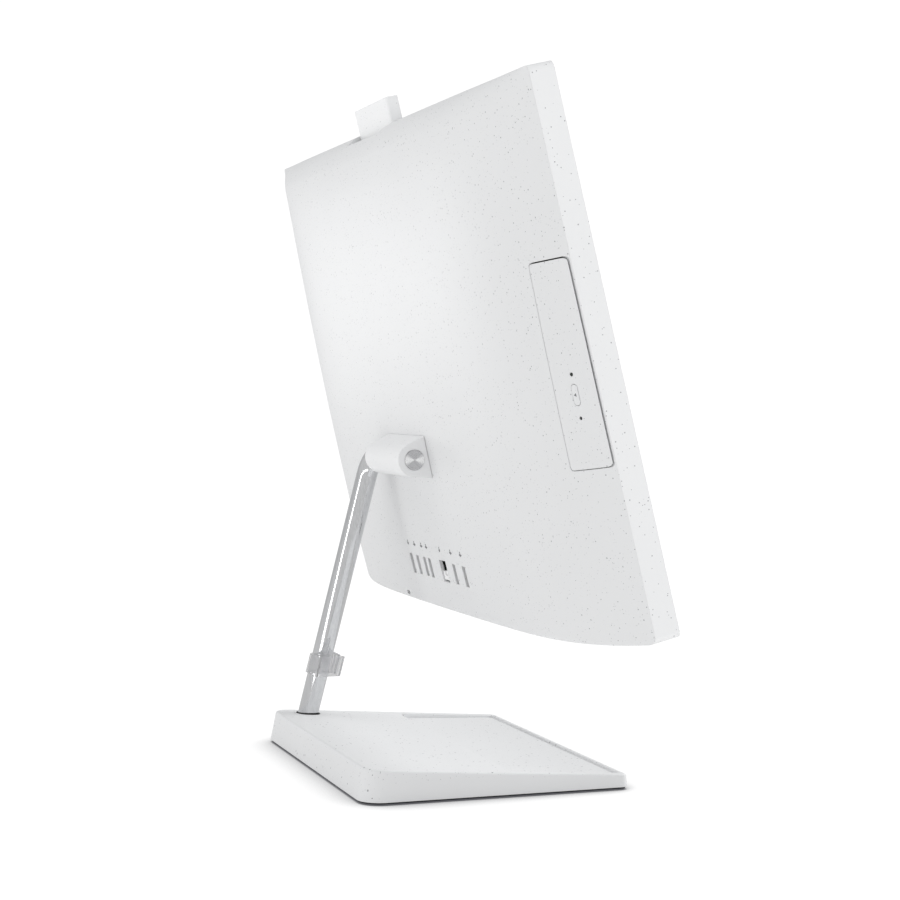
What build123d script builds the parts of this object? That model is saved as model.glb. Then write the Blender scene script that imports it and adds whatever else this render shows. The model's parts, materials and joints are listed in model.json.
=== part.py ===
from build123d import *
import math
import os

# An all-in-one computer on a slanted tube stand, in millimetres.
# X runs across the screen, the screen faces -Y, and Z is up from the table.
# Display parts are drawn upright in the display's own frame (x across, y from the glass
# to the back, z up from the lower edge) and then leaned back as one by lean_back().

# --- display ---
WIDTH = 612.0
HEIGHT = 366.0
HALF = WIDTH / 2
TILT = 13.8
CORNER_RADIUS = 5.0
LOWER_EDGE_Y = -61.0
LOWER_EDGE_Z = 129.0
BEZEL_DEPTH = 3.0
SIDE_DEPTH = 17.0
WALL = 2.6
GAP = 0.35
CHIN = 27.0
FRAME_BORDER = 6.4

# --- swell of the back cover ---
BELLY_DEPTH = 39.0
BELLY_HEIGHT = 60.0
ARCH_FLAT_SHARE = 0.1
ARCH_POWER = 6
TOP_SLIMMING = 0.4
BOTTOM_SLIMMING = 0.04
BOTTOM_ROUND = 3.6
TOP_ROUND = 20.0
TOP_ROUND_SECTIONS = 7
SECTION_HEIGHTS = [0, 0.3, 1.1, 2.2, 3.6, 30, 60, 105, 150, 195, 240, 285, 320]
SECTION_POINTS = 28

# --- stand ---
BASE_WIDTH = 284.0
BASE_FRONT_Y = -98.5
BASE_REAR_Y = 98.5
BASE_UNDER = 2.0
BASE_REAR_TOP = 24.5
BASE_FRONT_TOP = 10.5
SIDE_DRAFT = 1.5
REAR_DRAFT = 4.5
BASE_WALL = 2.2
TRAY_HALF = 133.0
TRAY_REAR_Y = -11.8
TRAY_FRONT_Y = -93.5
FOOT_HEIGHT = 0.8
BALLAST_TOP = 5.6
SOCKET_TOP = 16.1
TUBE_FOOT = Vector(122.0, 68.7, 22.7)
TUBE_TOP = Vector(63.0, 32.5, 232.6)
TUBE_RADIUS = 8.15
TUBE_BORE = 6.5
ELBOW_RADIUS = 22.0
ARM_END_X = 14.0
RISE = (TUBE_TOP - TUBE_FOOT).normalized()

# --- hinge: the axis runs along X through the top of the tube ---
AXIS_Y = TUBE_TOP.Y
AXIS_Z = TUBE_TOP.Z
KNUCKLE_NEAR_X = -48.5
KNUCKLE_FAR_X = 38.5
KNUCKLE_RADIUS = 12.6
KNUCKLE_BORE = 8.25
KNUCKLE_FACE = 55.7
KNUCKLE_FACE_DROP = 0.62
KNUCKLE_FACE_LOW = 106.6
KNUCKLE_FACE_HIGH = 138.3
SHAFT_RADIUS = 5.0
DISC_CAP_RADIUS = 7.45

# --- optical drive, on the -X side ---
DOOR_INNER_X = -273.2
DOOR_LOW = 115.0
DOOR_HIGH = 248.5
DRIVE_FRONT = 17.0
DRIVE_BACK = 29.6
DRIVE_OPEN_X = -268.0
DRIVE_END_X = -141.0
TRAY_EDGE_X = -267.0
DISC_X = -205.0
DISC_Z = 182.0
DISC_RADIUS = 60.3
EJECT_X = -289.6
EJECT_Z = 162.8
LIGHT_Z = 175.9
PIN_HOLE_Z = 147.9

# --- pop-up camera, drawn raised ---
CAMERA_HALF = 41.5
CAMERA_FRONT = 13.3
CAMERA_BACK = 22.9
CAMERA_LOW = 348.0
CAMERA_HIGH = 384.2
CAMERA_TRAVEL = 18.2
NOTCH_FLOOR = 360.0

# --- sockets in the back: (x, width, length) on one row ---
PORT_ROW_Z = 33.2
SOCKET_BACK = 51.6
POWER_INLET = (55.1, 7.4, 16.2)
USB_SOCKETS = [(38.7, 6.4, 15.4), (21.1, 6.4, 15.4), (8.8, 6.4, 15.4), (-49.0, 6.4, 15.4)]
HDMI_SOCKET = (-71.1, 6.6, 15.8)
NETWORK_SOCKET = (-23.5, 14.8, 17.2)
JAW_THICKNESS = 2.6
LOCK_SLOT = (91.0, 5.6, 7.4, 3.2)

# --- power button, under the lower edge ---
POWER_BUTTON_X = 232.0
POWER_BUTTON_Y = 24.0


def block(low, high):
    """A box from its lowest corner to its highest."""
    size = [b - a for a, b in zip(low, high)]
    return Pos(*low) * Box(*size, align=(Align.MIN, Align.MIN, Align.MIN))


def soft_block(low, high, radius):
    """A box whose edges are all rounded."""
    solid = block(low, high)
    return fillet(solid.edges(), radius)


def rod(start, direction, radius, length):
    """A cylinder from start along a direction."""
    plane = Plane(origin=start, z_dir=direction)
    return plane * Cylinder(radius, length, align=(Align.CENTER, Align.CENTER, Align.MIN))


def ring(start, direction, outer, inner, length):
    """A tube with its end at start."""
    return rod(start, direction, outer, length) - rod(start, direction, inner, length)


def lean_back(shape):
    """Moves a display part from the upright display frame to its place on the stand."""
    return Pos(0, LOWER_EDGE_Y, LOWER_EDGE_Z) * Rot(-TILT, 0, 0) * shape


def together(shapes):
    """Separate solids of one node."""
    return Compound(children=[Compound(children=list(shapes))])


# ---------------------------------------------------------------- back cover surface


def back_depth(x, z):
    """Distance from the glass plane to the outside of the back cover, at x and z."""
    across = min(abs(x) / HALF, 1.0)
    arch = 1 - ARCH_FLAT_SHARE * across**2 - (1 - ARCH_FLAT_SHARE) * across**ARCH_POWER
    if z > BELLY_HEIGHT:
        rise = (z - BELLY_HEIGHT) / (HEIGHT - BELLY_HEIGHT)
        swell = 1 - TOP_SLIMMING * rise**2
    else:
        swell = 1 - BOTTOM_SLIMMING * (1 - z / BELLY_HEIGHT) ** 2
    into_round = (z - HEIGHT + TOP_ROUND) / TOP_ROUND
    if into_round > 0:
        swell *= math.sqrt(max(0.0, 1 - into_round**2))
    depth = SIDE_DEPTH + BELLY_DEPTH * swell * arch
    below_round = 1 - z / BOTTOM_ROUND
    if below_round > 0:
        depth -= BOTTOM_ROUND * arch * (1 - math.sqrt(max(0.0, 1 - below_round**2)))
    return depth


def section_heights():
    """Heights of the level slices, closer together where the top rolls over."""
    quarter = [math.radians(90 * i / (TOP_ROUND_SECTIONS - 1)) for i in range(TOP_ROUND_SECTIONS)]
    return SECTION_HEIGHTS + [HEIGHT - TOP_ROUND + TOP_ROUND * math.sin(turn) for turn in quarter]


def back_section(z, inset, front):
    """One level slice of the display body, inset from the outside."""
    half = HALF - inset
    share = (z - inset) / (HEIGHT - 2 * inset)
    points = []
    for i in range(SECTION_POINTS + 1):
        x = -half * math.cos(math.pi * i / SECTION_POINTS)
        points.append((x, back_depth(x * HALF / half, share * HEIGHT) - inset, z))
    ends = [(half, front, z), (-half, front, z)]
    outline = Spline(points) + Polyline(points[-1], *ends, points[0])
    return make_face(outline)


def display_body(inset, front):
    """The whole swelling body between the front plane and the back surface."""
    share = (HEIGHT - 2 * inset) / HEIGHT
    slices = [back_section(inset + z * share, inset, front) for z in section_heights()]
    outline = Plane.XZ * Pos(0, HEIGHT / 2) * RectangleRounded(
        WIDTH - 2 * inset, HEIGHT - 2 * inset, CORNER_RADIUS - inset / 2
    )
    return loft(slices, ruled=True) & extrude(outline, 70, both=True)


def port_cutter(port, margin):
    """A straight cutter through the back cover over one socket."""
    x, width, length = port
    low = (x - width / 2 - margin, 44, PORT_ROW_Z - length / 2 - margin)
    high = (x + width / 2 + margin, 62, PORT_ROW_Z + length / 2 + margin)
    return block(low, high)


def door_space(margin):
    """The region of the shoulder that the drive door fills."""
    low = (-HALF + 0.7 + margin, SIDE_DEPTH + 0.4 + 2.6 * margin, DOOR_LOW + 1.4 * margin)
    space = block(low, (DOOR_INNER_X - 1.2 * margin, 60, DOOR_HIGH - 2.4 * margin))
    inner = space.edges().filter_by(Axis.Y).group_by(Axis.X)[-1]
    outer = space.edges().filter_by(Axis.X).group_by(Axis.Y)[0]
    return fillet(inner + outer, 2.6)


def bottom_vents():
    """Slots in the lower wall that feed the fan."""
    slots = []
    for i in range(12):
        x = -91 + 16 * i
        slots.append(block((x, 24, -1), (x + 6, 44, WALL + 1)))
    return slots


def top_vents():
    """Slots in the top wall, on both sides of the camera."""
    slots = []
    for side in (-1, 1):
        for i in range(14):
            x = side * (75 + 14 * i)
            slots.append(block((x - 4, 7.5, HEIGHT - WALL - 2), (x + 4, 11.5, HEIGHT + 1)))
    return slots


def power_button_hole(radius):
    """Hole for the power button in the lower wall."""
    return rod((POWER_BUTTON_X, POWER_BUTTON_Y, -1), (0, 0, 1), radius, WALL + 2)


def make_rear_cover(body, hollow):
    """The thin shell that forms the sides and the swelling back."""
    shell = body - hollow
    for port in [POWER_INLET, HDMI_SOCKET, NETWORK_SOCKET] + USB_SOCKETS:
        shell -= port_cutter(port, 0.0)
    shell -= door_space(0.0)
    shell -= block((-CAMERA_HALF - 0.9, CAMERA_FRONT - 0.5, NOTCH_FLOOR), (CAMERA_HALF + 0.9, 50, HEIGHT + 2))
    shell -= block((-31, 45, 111), (21, 62, 134))
    x, z, width, height = LOCK_SLOT
    shell -= block((x - width / 2, 45, z - height / 2), (x + width / 2, 62, z + height / 2))
    for slot in bottom_vents() + top_vents():
        shell -= slot
    shell -= power_button_hole(5.2)
    return shell


# ---------------------------------------------------------------- screen side


def make_front_bezel():
    """The slim frame and chin round the glass."""
    edge = WALL + 0.15
    frame = block((-HALF + edge, 0.1, edge), (HALF - edge, BEZEL_DEPTH, HEIGHT - edge))
    frame = fillet(frame.edges().filter_by(Axis.Y), CORNER_RADIUS - WALL / 2)
    window_low = (-HALF + FRAME_BORDER, -1, CHIN)
    window_high = (HALF - FRAME_BORDER, BEZEL_DEPTH + 1, HEIGHT - FRAME_BORDER)
    frame -= block(window_low, window_high)
    for x in (-12, 12):
        frame -= rod((x, -1, HEIGHT - 4.4), (0, 1, 0), 0.6, 3)
    return frame


def make_screen_glass():
    """The cover glass, set into the frame."""
    edge = FRAME_BORDER + 0.3
    return block((-HALF + edge, 0.2, CHIN + 0.3), (HALF - edge, 2.9, HEIGHT - edge))


def make_lcd_panel():
    """The panel and its backlight tray."""
    panel = block((-HALF + 5, BEZEL_DEPTH + 0.1, CHIN - 2), (HALF - 5, 10.0, HEIGHT - 5))
    groove = block((-HALF + 14, 9.4, CHIN + 8), (HALF - 14, 11, CHIN + 12))
    return panel - groove


def make_chassis_plate():
    """The pressed steel plate that carries everything behind the panel."""
    plate = block((-HALF + 5, 10.2, 4), (HALF - 5, 11.2, HEIGHT - 4.5))
    for x in (-235, 85, 235):
        plate -= block((x - 22, 9, 52), (x + 22, 12, 96))
    return plate


def make_screen_cable():
    """The flat cable from the board to the panel."""
    strap = block((-92, 11.4, 140), (-76, 12.2, 190))
    rise = block((-92, 12.2, 186), (-76, 17.8, 190))
    return strap + rise


# ---------------------------------------------------------------- hinge


def tangent_profile():
    """Outline of the hinge knuckle: a round nose widening to a flat face on the cover."""
    axis = display_axis()
    nose = CenterArc((axis[0], axis[1]), KNUCKLE_RADIUS, 0, 360)
    corners = [(KNUCKLE_FACE, KNUCKLE_FACE_LOW), (KNUCKLE_FACE - KNUCKLE_FACE_DROP, KNUCKLE_FACE_HIGH)]
    touching = [tangent_point(corner, axis, side) for corner, side in zip(corners, (1, -1))]
    wedge = Polyline(corners[0], touching[0], touching[1], corners[1], close=True)
    return make_face(wedge) + make_face(nose)


def cover_side():
    """Everything on the display's side of the knuckle's leaning flat face."""
    lean = KNUCKLE_FACE_DROP / (KNUCKLE_FACE_HIGH - KNUCKLE_FACE_LOW)
    low = KNUCKLE_FACE + lean * KNUCKLE_FACE_LOW
    outline = Polyline((0, 0), (low, 0), (low - lean * HEIGHT, HEIGHT), (0, HEIGHT), close=True)
    plane = Plane(origin=(-100, 0, 0), x_dir=(0, 1, 0), z_dir=(1, 0, 0))
    return extrude(plane * make_face(outline), 200)


def display_axis():
    """The hinge axis in the display frame, as (y, z)."""
    lean = math.radians(TILT)
    back = AXIS_Y - LOWER_EDGE_Y
    up = AXIS_Z - LOWER_EDGE_Z
    return (back * math.cos(lean) - up * math.sin(lean), back * math.sin(lean) + up * math.cos(lean))


def tangent_point(corner, centre, side):
    """Where a line from a corner touches the round nose."""
    dy = corner[0] - centre[0]
    dz = corner[1] - centre[1]
    reach = math.hypot(dy, dz)
    turn = math.atan2(dz, dy) + side * math.acos(KNUCKLE_RADIUS / reach)
    return (centre[0] + KNUCKLE_RADIUS * math.cos(turn), centre[1] + KNUCKLE_RADIUS * math.sin(turn))


def make_hinge_knuckle():
    """The housing on the back of the display that turns about the tube's arm."""
    length = KNUCKLE_FAR_X - KNUCKLE_NEAR_X
    plane = Plane(origin=(KNUCKLE_NEAR_X, 0, 0), x_dir=(0, 1, 0), z_dir=(1, 0, 0))
    body = extrude(plane * tangent_profile(), length)
    body -= cover_side()
    rims = [e for e in body.edges().filter_by(Plane.YZ) if e.center().Y > KNUCKLE_FACE + 1]
    body = fillet(rims, 0.8)
    y, z = display_axis()
    body -= rod((KNUCKLE_NEAR_X + 3.2, y, z), (1, 0, 0), KNUCKLE_BORE, length)
    return body - rod((KNUCKLE_NEAR_X - 1, y, z), (1, 0, 0), DISC_CAP_RADIUS + 0.06, 5)


def make_hinge_bracket():
    """The steel channel inside the cover that the knuckle is bolted to."""
    back = block((-50, 41.5, 88), (40, 44, 158))
    neck = block((-30, 44, 112), (20, KNUCKLE_FACE, 133)) & cover_side()
    legs = block((-50, 11.2, 88), (-47.5, 44, 158)) + block((37.5, 11.2, 88), (40, 44, 158))
    feet = block((-64, 11.2, 88), (-47.5, 13.2, 158)) + block((37.5, 11.2, 88), (54, 13.2, 158))
    bracket = back + neck + legs + feet
    for x, z in bracket_screw_places():
        bracket -= rod((x, 10, z), (0, 1, 0), 1.7, 5)
    return bracket


def bracket_screw_places():
    """Where the bracket's feet are screwed down."""
    return [(x, z) for x in (-57, 47) for z in (96, 123, 150)]


def make_bracket_screws():
    """Pan head screws through the bracket's feet."""
    screws = []
    for x, z in bracket_screw_places():
        head = rod((x, 13.3, z), (0, 1, 0), 3.0, 1.8)
        shank = rod((x, 11.4, z), (0, 1, 0), 1.5, 2.0)
        cross = block((x - 1.8, 14.5, z - 0.4), (x + 1.8, 15.5, z + 0.4))
        screws.append(head + shank - cross)
    return together(screws)


def make_torque_rings():
    """Sprung rings in the knuckle that grip the shaft and hold the tilt."""
    rings = []
    y, z = display_axis()
    for i in range(4):
        start = (-41 + 11 * i, y, z)
        whole = ring(start, (1, 0, 0), KNUCKLE_BORE - 0.06, SHAFT_RADIUS + 0.05, 8)
        split = block((start[0] - 1, y, z - 0.5), (start[0] + 9, y + 10, z + 0.5))
        rings.append(whole - split)
    return together(rings)


def make_hinge_shaft():
    """The steel shaft fixed in the tube's arm, on the tilt axis."""
    grip = rod((8, AXIS_Y, AXIS_Z), (1, 0, 0), TUBE_BORE - 0.05, 34)
    thin = rod((KNUCKLE_NEAR_X + 2.4, AXIS_Y, AXIS_Z), (1, 0, 0), SHAFT_RADIUS, 8 - KNUCKLE_NEAR_X - 2.4)
    return grip + thin


def make_hinge_end_disc():
    """The turned disc that caps the shaft at the knuckle's open end."""
    start = (KNUCKLE_NEAR_X - 0.6, AXIS_Y, AXIS_Z)
    disc = rod(start, (1, 0, 0), DISC_CAP_RADIUS, 3.0)
    disc = chamfer(disc.edges().sort_by(Axis.X)[0], 0.4)
    return disc


# ---------------------------------------------------------------- stand


def base_outline(side, rear_y):
    """Plan of the base, with wide rear corners and tight front ones."""
    half = BASE_WIDTH / 2 - side
    corners = [(-half, BASE_FRONT_Y + side), (half, BASE_FRONT_Y + side), (half, rear_y), (-half, rear_y)]
    plan = make_face(Polyline(*corners, close=True))
    rear = [v for v in plan.vertices() if v.Y > 0]
    plan = fillet(rear, 17 - side)
    front = [v for v in plan.vertices() if v.Y < BASE_FRONT_Y + side + 1]
    return fillet(front, 6 - side)


def base_block(inset, low, high):
    """The drafted block that the wedge is cut from."""
    share = (high - BASE_UNDER) / (BASE_REAR_TOP - BASE_UNDER)
    lower = Pos(0, 0, low) * base_outline(inset, BASE_REAR_Y - inset)
    rear_y = BASE_REAR_Y - inset - REAR_DRAFT * share
    upper = Pos(0, 0, high) * base_outline(inset + SIDE_DRAFT * share, rear_y)
    return loft([lower, upper])


def above_slope(drop):
    """Everything above the base's sloping top, lowered by drop."""
    run = BASE_REAR_Y - REAR_DRAFT - BASE_FRONT_Y
    rise = (BASE_REAR_TOP - BASE_FRONT_TOP) / run
    front = (BASE_FRONT_Y - 20, BASE_FRONT_TOP - 20 * rise - drop)
    rear = (BASE_REAR_Y + 20, BASE_REAR_TOP + (20 + REAR_DRAFT) * rise - drop)
    profile = Polyline(front, rear, (rear[0], 80), (front[0], 80), close=True)
    plane = Plane(origin=(-200, 0, 0), x_dir=(0, 1, 0), z_dir=(1, 0, 0))
    return extrude(plane * make_face(profile), 400)


def tray_recess(drop, grow):
    """The shallow well in the front half of the base for a phone or small things."""
    floor_rear = (TRAY_REAR_Y + grow, 12.7 - drop)
    floor_front = (TRAY_FRONT_Y - grow, 9.2 - drop)
    outline = Polyline(floor_front, floor_rear, (floor_rear[0], 40), (floor_front[0], 40), close=True)
    plane = Plane(origin=(-TRAY_HALF - grow, 0, 0), x_dir=(0, 1, 0), z_dir=(1, 0, 0))
    well = extrude(plane * make_face(outline), 2 * (TRAY_HALF + grow))
    return fillet(well.edges().filter_by(Axis.Z), 3 + grow)


def base_screw_places():
    """Where the sole and ballast are screwed up into the cover."""
    return [(x, y) for x in (-112, 0, 112) for y in (-72, 40)]


def make_base_cover():
    """The moulded wedge that stands on the sole."""
    outside = base_block(0, BASE_UNDER, BASE_REAR_TOP) - above_slope(0)
    rim = [e for e in outside.edges() if e.center().Z > BASE_FRONT_TOP - 2 and e.length > 5]
    outside = fillet(rim, 1.6)
    outside -= tray_recess(0, 0)
    lip = [e for e in outside.edges().filter_by(Axis.X) if abs(e.center().Y - TRAY_REAR_Y) < 0.1]
    lip = [e for e in lip if e.center().Z > 14]
    outside = fillet(lip, 1.2)
    inside = base_block(BASE_WALL, BASE_UNDER, BASE_REAR_TOP) - above_slope(BASE_WALL)
    inside -= tray_recess(1.8, 2.0)
    cover = outside - inside
    for x, y in base_screw_places():
        post = rod((x, y, BALLAST_TOP + 0.1), (0, 0, 1), 3.6, 30)
        cover += post & outside
        cover -= rod((x, y, 0), (0, 0, 1), 1.45, 7.6)
    return cover - rod(TUBE_FOOT - RISE * 15, RISE, 9.5, 30)


def make_base_sole():
    """The black plate that closes the base from below."""
    sole = Pos(0, 0, FOOT_HEIGHT) * extrude(base_outline(1.4, BASE_REAR_Y - 1.4), BASE_UNDER - FOOT_HEIGHT)
    for x, y in base_screw_places():
        sole -= rod((x, y, 0), (0, 0, 1), 3.3, 3)
    return sole


def make_ballast_plate():
    """The steel plate that keeps the stand from tipping."""
    plate = block((-130, -86, BASE_UNDER), (112, 86, BALLAST_TOP))
    plate += block((112, -86, BASE_UNDER), (137, 82, BALLAST_TOP))
    for x, y in base_screw_places():
        plate -= rod((x, y, 0), (0, 0, 1), 1.6, 9)
    return plate


def make_base_screws():
    """Screws from under the sole into the cover's posts."""
    screws = []
    for x, y in base_screw_places():
        head = rod((x, y, 0.9), (0, 0, 1), 3.1, 1.05)
        shank = rod((x, y, 1.9), (0, 0, 1), 1.4, 5.2)
        cross = block((x - 1.8, y - 0.4, 0.5), (x + 1.8, y + 0.4, 1.4))
        screws.append(head + shank - cross)
    return together(screws)


def make_rubber_feet():
    """Four round pads under the corners."""
    pads = []
    for x in (-124, 124):
        for y in (-84, 76):
            pads.append(rod((x, y, 0), (0, 0, 1), 9, FOOT_HEIGHT))
    return together(pads)


def make_tube_socket():
    """The clamp block on the ballast that holds the foot of the tube."""
    low = TUBE_FOOT - RISE * ((TUBE_FOOT.Z - BALLAST_TOP) / RISE.Z)
    body = rod((low.X, low.Y, BALLAST_TOP), (0, 0, 1), 11.4, SOCKET_TOP - BALLAST_TOP)
    body += block((low.X - 30, low.Y - 9, BALLAST_TOP), (low.X - 4, low.Y + 9, BALLAST_TOP + 5))
    for y in (-5, 5):
        body -= rod((low.X - 24, low.Y + y, 0), (0, 0, 1), 1.7, 20)
    return body - rod(TUBE_FOOT - RISE * 60, RISE, TUBE_RADIUS + 0.05, 90)


def make_socket_screws():
    """Screws that hold the clamp block to the ballast."""
    low = TUBE_FOOT - RISE * ((TUBE_FOOT.Z - BALLAST_TOP) / RISE.Z)
    screws = []
    for y in (-5, 5):
        head = rod((low.X - 24, low.Y + y, BALLAST_TOP + 5.1), (0, 0, 1), 2.9, 1.6)
        shank = rod((low.X - 24, low.Y + y, BALLAST_TOP + 0.1), (0, 0, 1), 1.5, 5.1)
        screws.append(head + shank)
    return together(screws)


def make_tube_grommet():
    """The dark ring where the tube passes through the base."""
    whole = ring(TUBE_FOOT - RISE * 12, RISE, 9.4, TUBE_RADIUS + 0.05, 24)
    return whole - above_slope(-0.5) - block((-200, -200, -20), (200, 200, SOCKET_TOP + 0.3))


def tube_path():
    """Centreline of the tube: up and inwards, then level into the hinge."""
    start = TUBE_FOOT - RISE * ((TUBE_FOOT.Z - BALLAST_TOP - 0.4) / RISE.Z)
    return FilletPolyline(start, TUBE_TOP, Vector(ARM_END_X, AXIS_Y, AXIS_Z), radius=ELBOW_RADIUS)


def make_stand_tube():
    """The bent aluminium tube, hollow all the way."""
    path = tube_path()
    end = Plane(origin=path @ 0, z_dir=path % 0)
    outer = sweep(end * Circle(TUBE_RADIUS), path=path)
    inner = sweep(end * Circle(TUBE_BORE), path=path)
    tube = outer - inner
    return tube - block((-400, -400, -100), (400, 400, BALLAST_TOP + 0.1))


def make_cable_clip():
    """The clear snap-on clip on the tube, with a hollow beside it that holds a cable."""
    centre = TUBE_FOOT + RISE * (42.5 / RISE.Z)
    tall = 15.6
    plane = Plane(origin=centre - RISE * (tall / 2 / RISE.Z))
    block_plan = Pos(-13.7, 0) * RectangleRounded(33.6, 20, 1.2)
    channel = Pos(-19.7, 0) * RectangleRounded(17, 15.4, 1.2)
    mouth = Pos(-20, -9) * Rectangle(6.4, 4)
    plan = plane * (block_plan - channel - mouth)
    clip = extrude(plan, amount=tall / RISE.Z, dir=RISE)
    return clip - rod(centre - RISE * 40, RISE, TUBE_RADIUS + 0.08, 80)


# ---------------------------------------------------------------- pop-up camera


def make_camera_housing():
    """The raised camera bar."""
    bar = block((-CAMERA_HALF, CAMERA_FRONT, CAMERA_LOW), (CAMERA_HALF, CAMERA_BACK, CAMERA_HIGH))
    bar = fillet(bar.edges().filter_by(Axis.Z), 1.4)
    bar = fillet(bar.edges().group_by(Axis.Z)[-1], 0.8)
    bar -= block((-36, 14.9, 350), (36, 21.4, 382.4))
    bar -= block((-33, CAMERA_FRONT - 1, 368.5), (33, CAMERA_FRONT + 0.9, 381.5))
    bar -= rod((0, CAMERA_FRONT - 1, 375), (0, 1, 0), 3.6, 4)
    return bar


def make_camera_window():
    """The dark strip over the camera and its light."""
    strip = block((-32.8, CAMERA_FRONT + 0.1, 368.7), (32.8, CAMERA_FRONT + 0.85, 381.3))
    return strip - rod((0, CAMERA_FRONT - 1, 375), (0, 1, 0), 3.5, 4)


def make_camera_lens():
    """The small lens barrel."""
    barrel = rod((0, CAMERA_FRONT + 0.2, 375), (0, 1, 0), 3.3, 3.4)
    return barrel - Pos(0, CAMERA_FRONT - 3.6, 375) * Sphere(4.4)


def make_camera_board():
    """The strip of circuit board behind the lens."""
    board = block((-34, 17.0, 352), (34, 18.0, 381.5))
    sensor = block((-4.5, 16.95, 370.5), (4.5, 17.0, 379.5))
    return board + sensor


def make_camera_guide():
    """The pocket that the camera bar slides in."""
    pocket = block((-46, 11.4, 326.5), (46, 25.0, 359.8)) + block((-46, 25.0, 358.4), (46, 27.5, 359.8))
    space_low = (-CAMERA_HALF - 0.4, CAMERA_FRONT - 0.4, 328.5)
    return pocket - block(space_low, (CAMERA_HALF + 0.4, CAMERA_BACK + 0.4, 361))


# ---------------------------------------------------------------- optical drive


def make_drive_case():
    """The thin metal case, open where the tray comes out."""
    outer = block((DRIVE_OPEN_X, DRIVE_FRONT, DISC_Z - 64.5), (DRIVE_END_X, DRIVE_BACK, DISC_Z + 64.5))
    inner_low = (DRIVE_OPEN_X - 1, DRIVE_FRONT + 0.8, DISC_Z - 63.7)
    inner_high = (DRIVE_END_X - 0.8, DRIVE_BACK - 0.8, DISC_Z + 63.7)
    return outer - block(inner_low, inner_high)


def make_drive_rails():
    """Two guide rails along the sides of the case."""
    rails = []
    for side in (-1, 1):
        z = DISC_Z + side * 63.0
        low = (DRIVE_OPEN_X + 2, DRIVE_FRONT + 3.9, z - 0.6)
        rails.append(block(low, (DRIVE_END_X - 1.2, DRIVE_FRONT + 7.9, z + 0.6)))
    return together(rails)


def make_disc_tray():
    """The sliding tray with its round well facing the front."""
    y = DRIVE_FRONT
    tray = block((TRAY_EDGE_X, y + 1.8, DISC_Z - 61.9), (-143.0, y + 9.0, DISC_Z + 61.9))
    tray = fillet(tray.edges().filter_by(Axis.Y), 2.0)
    tray -= rod((DISC_X, y, DISC_Z), (0, 1, 0), DISC_RADIUS, 4.4)
    tray -= rod((DISC_X, y, DISC_Z), (0, 1, 0), 19.0, 6.8)
    return tray - block((-189, y, DISC_Z - 16), (-146, y + 6.8, DISC_Z + 16))


def make_tray_door(body, hollow):
    """The piece of the back cover's shoulder that travels with the tray."""
    arm = block((-302, 19.6, 121), (TRAY_EDGE_X - 0.02, 24.4, 243))
    door = (body & door_space(GAP)) - (hollow - arm)
    door += arm - block((-320, 0, 0), (DOOR_INNER_X - GAP - 0.5, 60, HEIGHT))
    door -= eject_pill(0.3, -2, 9)
    door -= light_bore(LIGHT_Z, 1.2)
    return door - light_bore(PIN_HOLE_Z, 1.15)


def eject_inwards():
    """The direction in which the eject button is pressed, square to the shoulder."""
    step = 0.5
    slope = (back_depth(EJECT_X + step, EJECT_Z) - back_depth(EJECT_X - step, EJECT_Z)) / (2 * step)
    return Vector(slope, -1, 0).normalized()


def eject_start(depth):
    """A point on the eject button's axis, that far below the shoulder's surface."""
    surface = Vector(EJECT_X, back_depth(EJECT_X, EJECT_Z), EJECT_Z)
    return surface + eject_inwards() * depth


def eject_pill(margin, start, length):
    """The pill-shaped prism of the eject button, pointing inwards."""
    plane = Plane(origin=eject_start(start), x_dir=(0, 0, 1), z_dir=eject_inwards())
    return extrude(plane * SlotOverall(13.4 + 2 * margin, 4.6 + 2 * margin), length)


def light_bore(z, radius):
    """A small round hole square to the shoulder, in line with the eject button."""
    surface = Vector(EJECT_X, back_depth(EJECT_X, z), z)
    return rod(surface - eject_inwards() * 3, eject_inwards(), radius, 8)


def make_eject_button():
    """The sprung button on the door."""
    pill = eject_pill(0, -0.35, 3.6)
    return fillet(pill.edges().group_by(SortBy.LENGTH)[-1], 0.3)


def make_drive_light():
    """The activity light beside the eject button."""
    surface = Vector(EJECT_X, back_depth(EJECT_X, LIGHT_Z), LIGHT_Z)
    return rod(surface - eject_inwards() * 0.15, eject_inwards(), 1.1, 2.5)


def make_disc_spindle():
    """The hub that grips and turns a disc."""
    y = DRIVE_FRONT
    flange = rod((DISC_X, y + 3.6, DISC_Z), (0, 1, 0), 14.5, 2.4)
    nose = rod((DISC_X, y + 1.3, DISC_Z), (0, 1, 0), 7.3, 2.3)
    nose = chamfer(nose.edges().sort_by(Axis.Y)[0], 0.7)
    hub = flange + nose
    for i in range(3):
        turn = math.radians(120 * i)
        hub += Pos(DISC_X + 6.3 * math.cos(turn), y + 2.6, DISC_Z + 6.3 * math.sin(turn)) * Sphere(1.2)
    return hub


def make_lens_sled():
    """The carriage of the reading lens, which tracks outwards across the disc."""
    y = DRIVE_FRONT
    sled = block((-187, y + 3.8, DISC_Z - 15), (-177, y + 6.5, DISC_Z + 15))
    return sled + rod((-182, y + 3.0, DISC_Z), (0, 1, 0), 2.6, 1.0)


# ---------------------------------------------------------------- electronics


def make_motherboard():
    """The main circuit board."""
    board = block((-100, 18, 172), (108, 19.6, 312))
    for x, z in board_screw_places():
        board -= rod((x, 17, z), (0, 1, 0), 1.6, 4)
    return board


def board_screw_places():
    """The four corners of the main board."""
    return [(x, z) for x in (-95, 103) for z in (177, 307)]


def make_board_screws():
    """Screws and their posts that hold the main board off the chassis."""
    screws = []
    for x, z in board_screw_places():
        post = rod((x, 11.2, z), (0, 1, 0), 3.0, 6.8)
        head = rod((x, 19.7, z), (0, 1, 0), 2.8, 1.6)
        shank = rod((x, 18.0, z), (0, 1, 0), 1.4, 1.8)
        screws.append(post + head + shank)
    return together(screws)


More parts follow.
